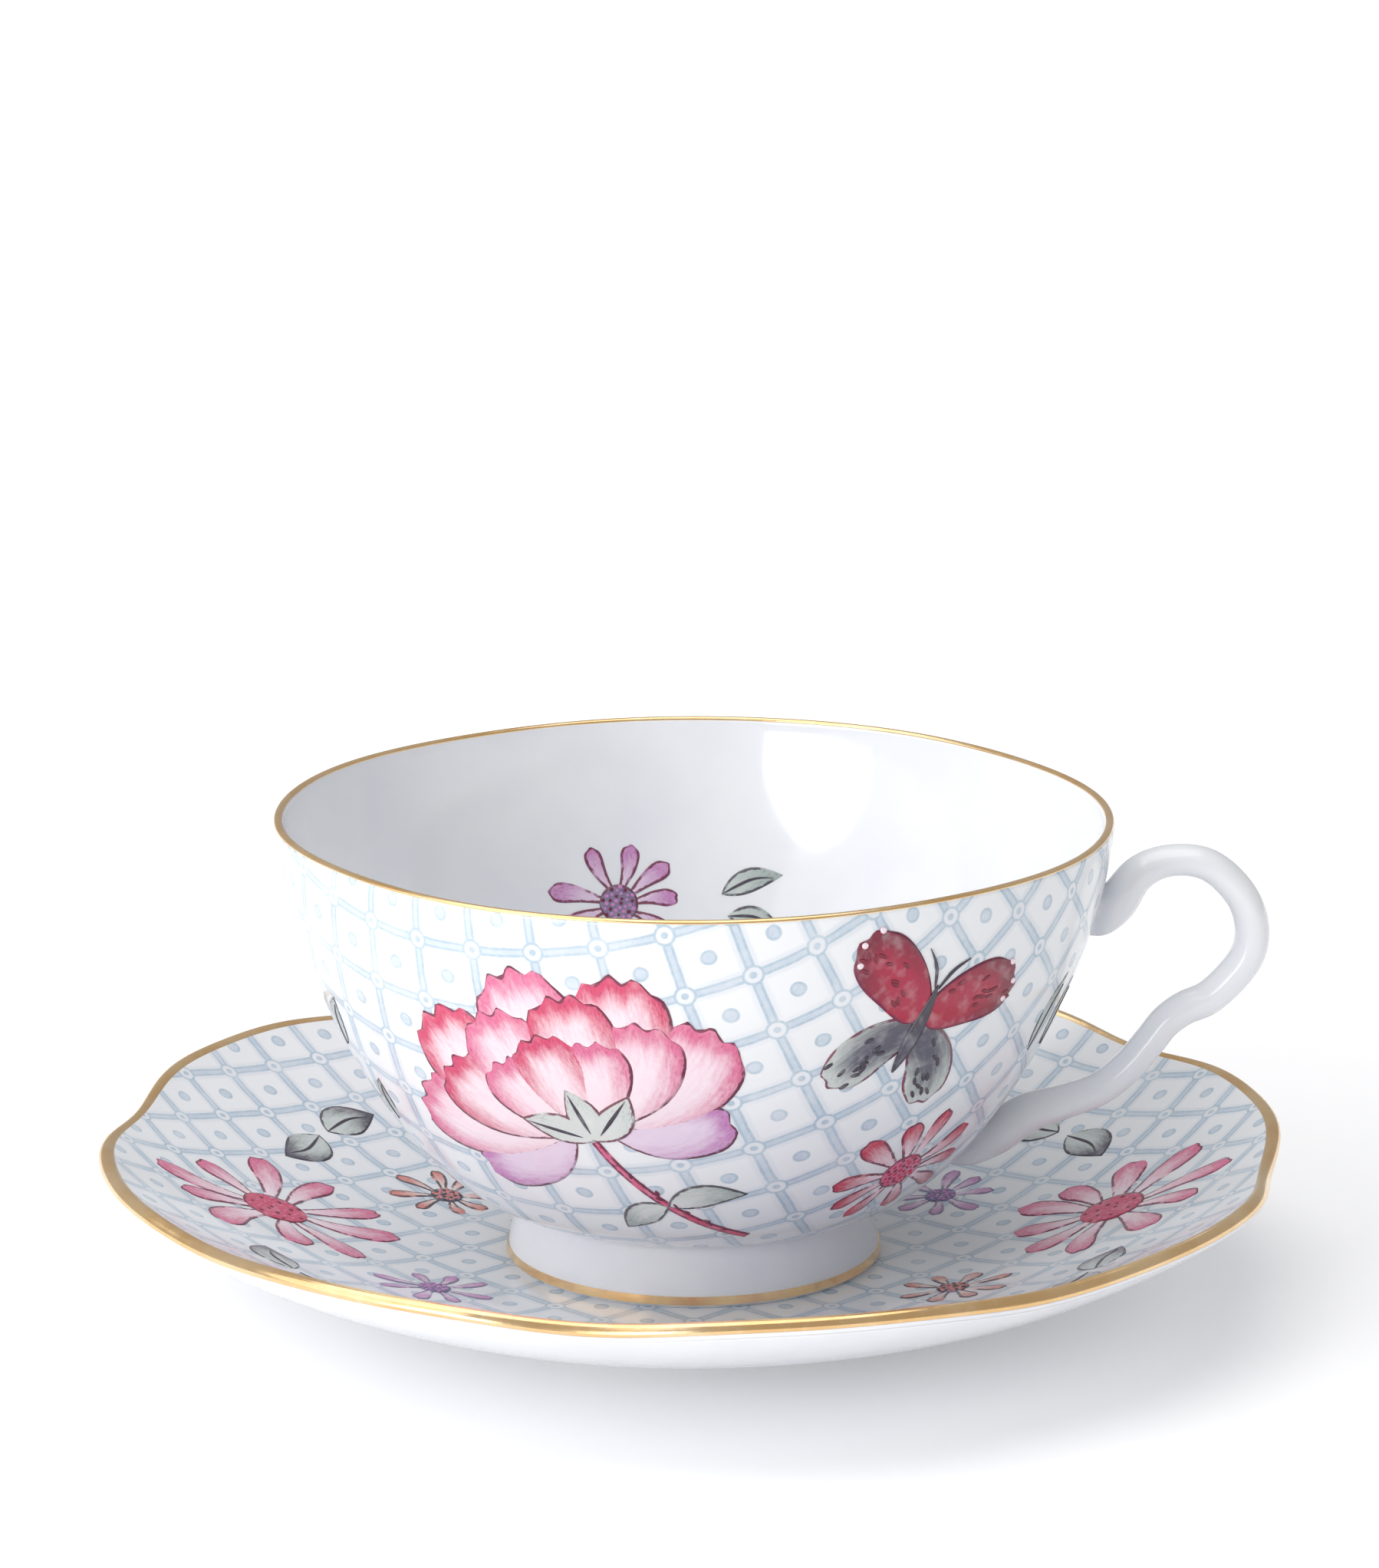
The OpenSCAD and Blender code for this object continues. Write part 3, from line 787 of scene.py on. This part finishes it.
def sepals(art, place, at, leaves, level=8):
    for u, v, width in leaves:
        mid = ((at[0] + u) / 2 + 0.06 * v, (at[1] + v) / 2 - 0.06 * u)
        art.stroke(place, [at, mid, (u, v)], width, "leaf", FROST, PALE_SAGE, MAROON, level=level)
        art.stroke(place, [(at[0] * 0.7 + mid[0] * 0.3, at[1] * 0.7 + mid[1] * 0.3), (u * 0.9, v * 0.9)],
                   0.5, "leaf", DUSK, SLATE, SLATE, level=level + 4, rows=8, columns=4)


def spin(points, turn, scale=1.0):
    """Points turned about the origin by an angle in degrees, and scaled."""
    c, d = math.cos(math.radians(turn)), math.sin(math.radians(turn))
    return [(scale * (u * c - v * d), scale * (u * d + v * c)) for u, v in points]


BLOOM_ROWS = (  # spread of a row's petals in degrees, how many, length, width, tip colours
    (96, 2, 19.0, 15.0, (LILAC, LILAC)),
    (68, 5, 26.5, 15.5, (ROSE, PINK)),
    (46, 4, 22.5, 14.0, (PINK, ROSE)),
    (25, 3, 17.0, 11.5, (ROSE, PINK)))


def blossom(name, place, lean, side=1):
    """A full cupped bloom seen from the side: rows of petals, the front ones shorter, and a stem."""
    art = Painting(name, "cup")
    level = 0
    for spread, count, length, width, tips in BLOOM_ROWS:
        order = sorted(range(count), key=lambda k: -abs(k - (count - 1) / 2))
        for k in order:
            across = 2 * k / (count - 1) - 1
            a = math.radians(spread) * across
            reach = length * (1 - 0.1 * abs(across)) * rng.uniform(0.96, 1.04)
            path = [(0.12 * reach * math.sin(a), 1.5),
                    (0.58 * reach * math.sin(a * 1.2), 0.56 * reach * math.cos(a)),
                    (reach * math.sin(a * 0.9), reach * math.cos(a * 0.9))]
            tip = tips[k % 2]
            root = PALE_LILAC if tip == LILAC else BLUSH
            art.stroke(place, spin(path, lean), width, "petal", root, tip, MAROON, level=level,
                       ruffle=0.028, lobes=4, rows=26, columns=19)
            level += 0.5
    sepals(art, place, (0, 0), [(*spin([p], lean)[0], 4.6) for p in ((-7.5, 5.5), (7.5, 5.5), (0.3, 8.5))])
    stem = [(0, -0.4), (side * 2.4, -5), (side * 6.0, -10.5), (side * 10.5, -16), (side * 15, -20)]
    art.stroke(place, stem, 1.5, "stem", ROSE, PINK, MAROON, level=1, rows=30, columns=6)
    art.dashes(place, side * 2.6, -4.8, side * 13.8, -19, 9, 0.25, MAROON, (1.0, 0.4), 0.9, 5)
    for u, v in ((side * 17, -9.5), (side * 1, -17.5)):
        art.stroke(place, [(side * 7, -12), ((side * 7 + u) / 2, (v - 12) / 2 + 1.2), (u, v)], 4.4, "leaf",
                   FROST, SAGE, SLATE, level=2)
    return art.make()


def daisy(name, body, place, radius, petals, tip, eye_colour, ink=MAROON, start=0.0, root=BLUSH):
    """An open flower: a ring of narrow rays, pale at the root, round a dotted eye."""
    art = Painting(name, body)
    eye = 0.29 * radius
    for k in range(petals):
        a = start + 2 * math.pi * k / petals + rng.uniform(-0.12, 0.12)
        reach = radius * rng.uniform(0.86, 1.12)
        bend = rng.uniform(-0.1, 0.1)
        path = [(r * math.cos(a + turn), r * math.sin(a + turn))
                for r, turn in ((eye * 0.9, 0), (0.6 * reach, bend), (reach, 0))]
        art.stroke(place, path, 0.33 * radius * rng.uniform(0.85, 1.15), "ray", root, tip, ink,
                   level=k % 2, ruffle=0.02, lobes=2)
    art.stroke(place, [(-eye, 0), (eye, 0)], 2 * eye, "round", eye_colour, eye_colour, ink, level=3)
    for k in range(34):
        a, r = k * 2.4, eye * 0.9 * math.sqrt((k + 0.5) / 34)
        art.dot(place, r * math.cos(a), r * math.sin(a), rng.uniform(0.4, 0.62),
                tip if k % 3 else ink, level=7)
    return art.make()


def leaves(name, body, place, blades, root=PALE_SAGE, tip=SAGE, ink=SLATE):
    """Leaves with a dark midrib: each is its base, its tip and its width."""
    art = Painting(name, body)
    for u0, v0, u1, v1, width in blades:
        mid = ((u0 + u1) / 2 - 0.08 * (v1 - v0), (v0 + v1) / 2 + 0.08 * (u1 - u0))
        art.stroke(place, [(u0, v0), mid, (u1, v1)], width, "leaf", root, tip, ink, level=0)
        art.stroke(place, [(u0, v0), mid, (u0 + 0.85 * (u1 - u0), v0 + 0.85 * (v1 - v0))], 0.4, "leaf",
                   ink, ink, ink, level=5, rows=14, columns=4)
    return art.make()


def butterfly(name, place, turn, scale=1.0):
    """An open butterfly seen from above: crimson forewings, smoky hindwings, a dark body."""
    art = Painting(name, "cup")

    def wing(side, points, width, root, tip, level):
        art.stroke(place, spin([(side * u, v) for u, v in points], turn, scale), width * scale, "wing",
                   root, tip, MAROON, level=level, ruffle=0.02, rows=28, columns=17)

    for side in (-1, 1):
        wing(side, ((0.6, -0.5), (5.5, -5.0), (8.6, -11.5)), 9.5, DUSK, PALE_SAGE, 0)
        wing(side, ((0.6, 1.0), (6.5, 5.5), (14.5, 9.6)), 10.5, CRIMSON, WINE, 3)
        for u0, v0, u1, v1, count, ink in ((4, 4, 13, 9, 12, WINE), (4, -4, 8, -10, 11, SLATE)):
            ends = spin([(side * u0, v0), (side * u1, v1)], turn, scale)
            art.dashes(place, *ends[0], *ends[1], count, 1.5 * scale, ink, (1.3, 0.5), 0.6, 7)
        for spot in ((12.4, 11.6), (14.2, 9.0), (13.6, 6.2)):
            art.dot(place, *spin([(side * spot[0], spot[1])], turn, scale)[0], 0.9 * scale, BLUSH, 9)
        art.stroke(place, spin([(side * 0.3, 5.6), (side * 1.6, 8.6), (side * 3.8, 10.8)], turn, scale), 0.35,
                   "leaf", SLATE, SLATE, SLATE, level=8, rows=12, columns=4)
    art.stroke(place, spin([(0, -7.5), (0, 0), (0, 6.2)], turn, scale), 2.2 * scale, "leaf", DUSK, SLATE,
               SLATE, level=9, rows=20, columns=9)
    return art.make()


blossom("blossom_front", OnWall(-106, 27.5), 20)
butterfly("butterfly_front", OnWall(-57, 43), -20, 0.9)
daisy("daisy_front", "cup", OnWall(-48, 18), 10.5, 10, RED, ROSE)
leaves("leaves_right", "cup", OnWall(-22, 38), [(-3, -5, 1, 5, 4.0), (3, -6, 6, 3, 3.4)])
leaves("leaves_left", "cup", OnWall(-158, 30), [(-3, 2, 1, 10, 4.0), (2, -8, 4, -1, 3.4)])
daisy("daisy_inside", "cup", OnWall(103, 34, True), 9, 9, LILAC, VIOLET, root=PALE_LILAC)
leaves("leaves_inside", "cup", OnWall(80, 36, True), [(-4, -1, 4, 2, 3.4), (-3, -4, 4, -5, 3.0)])
blossom("blossom_back", OnWall(96, 28), -18, side=-1)
daisy("daisy_back", "cup", OnWall(150, 40), 11, 10, SALMON, VIOLET, root=CREAM)
butterfly("butterfly_back", OnWall(48, 36), 20, 0.8)

# An even wreath on the saucer: large flowers by the rim, small ones by the well, leaves between
WREATH_COUNT, RIM_FLOWER_AT, WELL_FLOWER_AT = 6, 53, 37
WREATH_COLOURS = (  # tip, eye, ink and root
    (ROSE, PINK, MAROON, BLUSH),
    (SALMON, VIOLET, SLATE, CREAM),
    (LILAC, SKY, VIOLET, PALE_LILAC))


def on_ring(radius, bearing, turn=0.0):
    return OnDish(*spin([(radius, 0)], bearing)[0], bearing + turn)


for k in range(WREATH_COUNT):
    at, between = 360 / WREATH_COUNT * k, 360 / WREATH_COUNT * (k + 0.5)
    tip, eye, ink, root = WREATH_COLOURS[k % 3]
    daisy(f"daisy_rim_{k + 1}", "saucer", on_ring(RIM_FLOWER_AT, at), 14, 10, tip, eye, ink, root=root)
    leaves(f"leaves_rim_{k + 1}", "saucer", on_ring(RIM_FLOWER_AT + 3, between, 90),
           [(-1, 0, -10.5, 1, 6), (1, 0, 10.5, 1, 6)], tip=DUSK)
    tip, eye, ink, root = WREATH_COLOURS[(k + 2) % 3]
    daisy(f"daisy_well_{k + 1}", "saucer", on_ring(WELL_FLOWER_AT, between), 7, 8, tip, eye, ink, root=root)

# ---- Carried-over solids ----
for node, material in (("saucer_foot_ring", WHITE_CHINA), ("cup_foot", WHITE_CHINA),
                       ("foot_slip_joint", WHITE_CHINA), ("cup_foot_gilding", GOLD)):
    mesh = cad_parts[node].data
    mesh.materials.clear()
    mesh.materials.append(material)

# ---- Floor, light and camera ----
floor_material, tree, shader = start_material("glowing_floor")
cloud = noise(tree, object_coords(tree), 3, 2)
tree.links.new(mix(tree, cloud, srgb(250, 250, 251), srgb(247, 247, 249)), shader.inputs["Base Color"])
shader.inputs["Roughness"].default_value = 0.9
shader.inputs["Specular IOR Level"].default_value = 0.1
shader.inputs["Emission Color"].default_value = (1, 1, 1, 1)
# Painted light: the floor glows like a lamp, weakly near the cup and strongly far off, so the far floor reads
# white while little of its glow lights the saucer's underside
away = tree.nodes.new("ShaderNodeVectorMath")
away.operation = "LENGTH"
tree.links.new(object_coords(tree), away.inputs[0])
away = Val(tree, away.outputs["Value"])
glow = away.ramp(0.05, 0.5, 0.14, 0.44) + away.ramp(0.8, 3.0, 0.0, 0.3)
tree.links.new(glow.socket, shader.inputs["Emission Strength"])
floor_mesh = bpy.data.meshes.new("floor")
HALF_FLOOR, CELLS = 8.0, 8
ROW = CELLS + 1
steps = np.linspace(-HALF_FLOOR, HALF_FLOOR, ROW)
floor_mesh.from_pydata([(x, y, 0) for y in steps for x in steps], [],
                       [(i * ROW + j, i * ROW + j + 1, (i + 1) * ROW + j + 1, (i + 1) * ROW + j)
                        for i in range(CELLS) for j in range(CELLS)])
floor_mesh.materials.append(floor_material)
floor = bpy.data.objects.new("floor", floor_mesh)
bpy.context.scene.collection.objects.link(floor)


def area_light(name, at, size, watts, colour=(1, 1, 1)):
    lamp = bpy.data.lights.new(name, "AREA")
    lamp.shape, lamp.size, lamp.energy, lamp.color = "DISK", size, watts, colour
    obj = bpy.data.objects.new(name, lamp)
    bpy.context.scene.collection.objects.link(obj)
    obj.location = at
    middle = (cad_box[0] + cad_box[1]) / 2
    obj.rotation_euler = (middle - obj.location).to_track_quat("-Z", "Y").to_euler()


area_light("key", (-1.35, -0.5, 1.0), 2.2, 14)
area_light("top", (-0.2, 0.2, 1.6), 1.8, 12.5)
area_light("low", (-0.95, -1.2, 0.25), 1.0, 12)

world = bpy.data.worlds.new("studio")
bpy.context.scene.world = world
world.use_nodes = True
world.node_tree.nodes["Background"].inputs["Color"].default_value = (1.0, 1.0, 1.0, 1)
world.node_tree.nodes["Background"].inputs["Strength"].default_value = 0.38
bpy.context.scene.view_settings.view_transform = "Standard"

camera = bpy.data.objects.new("camera", bpy.data.cameras.new("camera"))
bpy.context.scene.collection.objects.link(camera)
camera.data.lens, camera.data.sensor_width = 134.3, 36.0
camera.data.clip_start, camera.data.clip_end = 0.05, 30.0
CAMERA_DIP = 13.88
camera.location = (-0.00052, -0.7054, 0.2384)
camera.rotation_euler = (math.radians(90 - CAMERA_DIP), 0, 0)
bpy.context.scene.camera = camera
